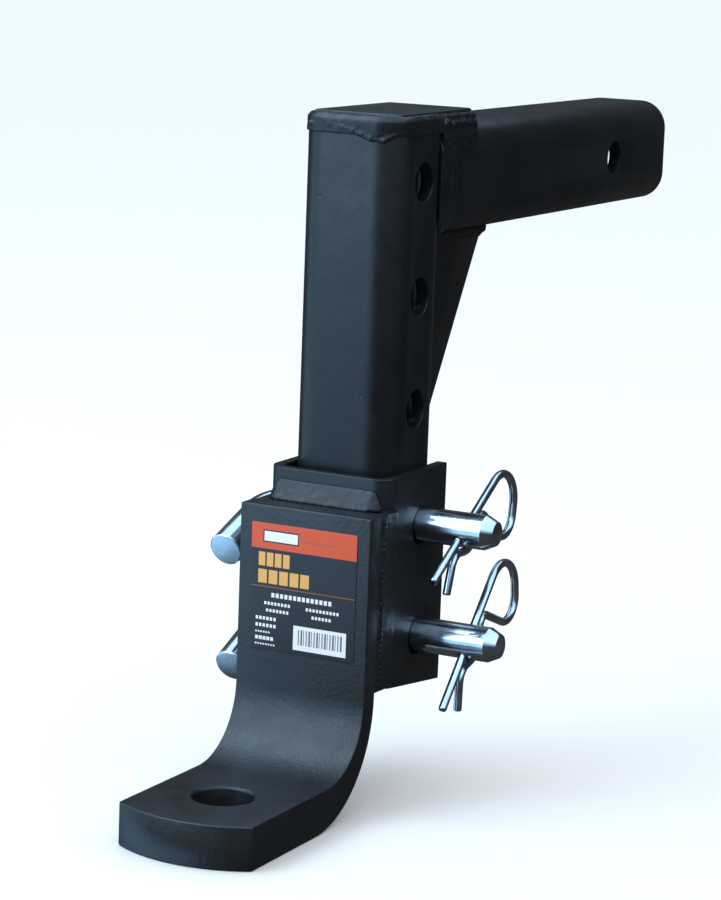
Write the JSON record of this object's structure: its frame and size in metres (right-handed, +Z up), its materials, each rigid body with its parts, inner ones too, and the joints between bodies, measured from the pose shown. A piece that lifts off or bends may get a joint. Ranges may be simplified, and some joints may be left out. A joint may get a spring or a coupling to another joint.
{
  "type": "adjustable drop ball mount",
  "caption": "Adjustable drop hitch mount: square shank, upright with pin holes, pinned sliding channel and a bent bar with a ball hole.",
  "frame": {"origin": "centre of the hitch-pin hole, on the shank's centre line", "axes": "+Z up, +Y along the shank into the receiver, +X towards the hairpin clips"},
  "size_m": [0.1277, 0.4435, 0.3054],
  "materials": {
    "black_paint_tube": "satin black enamel with fine orange peel",
    "black_paint_head": "satin black enamel with fine orange peel",
    "painted_weld": "rippled weld bead under satin black enamel",
    "zinc_pin": "bright zinc plate",
    "zinc_wire": "bright zinc plated spring wire",
    "sticker": "printed vinyl sticker"
  },
  "bodies": {
    "shank": {"shank_tube": "black_paint_tube", "drop_tube": "black_paint_tube", "cap_plate": "black_paint_tube", "cap_weld": "painted_weld", "shank_weld": "painted_weld", "gusset_left": "black_paint_tube", "gusset_right": "black_paint_tube", "gusset_weld_left": "painted_weld", "gusset_weld_right": "painted_weld"},
    "head": {"slide_channel": "black_paint_head", "ball_platform": "black_paint_head", "platform_top_weld": "painted_weld", "platform_bottom_weld": "painted_weld", "platform_side_weld_left": "painted_weld", "platform_side_weld_right": "painted_weld", "label": "sticker"},
    "upper_pin": {"upper_pin": "zinc_pin"},
    "lower_pin": {"lower_pin": "zinc_pin"},
    "upper_clip": {"upper_clip": "zinc_wire"},
    "lower_clip": {"lower_clip": "zinc_wire"}
  },
  "joints": [
    {"name": "height_slide", "type": "slide", "parent": "shank", "child": "head", "axis": [0, 0, 1], "range_m": [0, 0.0012]},
    {"name": "upper_pin_slide", "type": "slide", "parent": "head", "child": "upper_pin", "axis": [-1, 0, 0], "range_m": [0, 0.11]},
    {"name": "lower_pin_slide", "type": "slide", "parent": "head", "child": "lower_pin", "axis": [-1, 0, 0], "range_m": [0, 0.11]},
    {"name": "upper_clip_pull", "type": "slide", "parent": "head", "child": "upper_clip", "axis": [0, 0.8572, 0.515], "range_m": [0, 0.06], "deforming": ["upper_clip"]},
    {"name": "lower_clip_pull", "type": "slide", "parent": "head", "child": "lower_clip", "axis": [0, 0.6756, 0.7373], "range_m": [0, 0.06], "deforming": ["lower_clip"]}
  ]
}
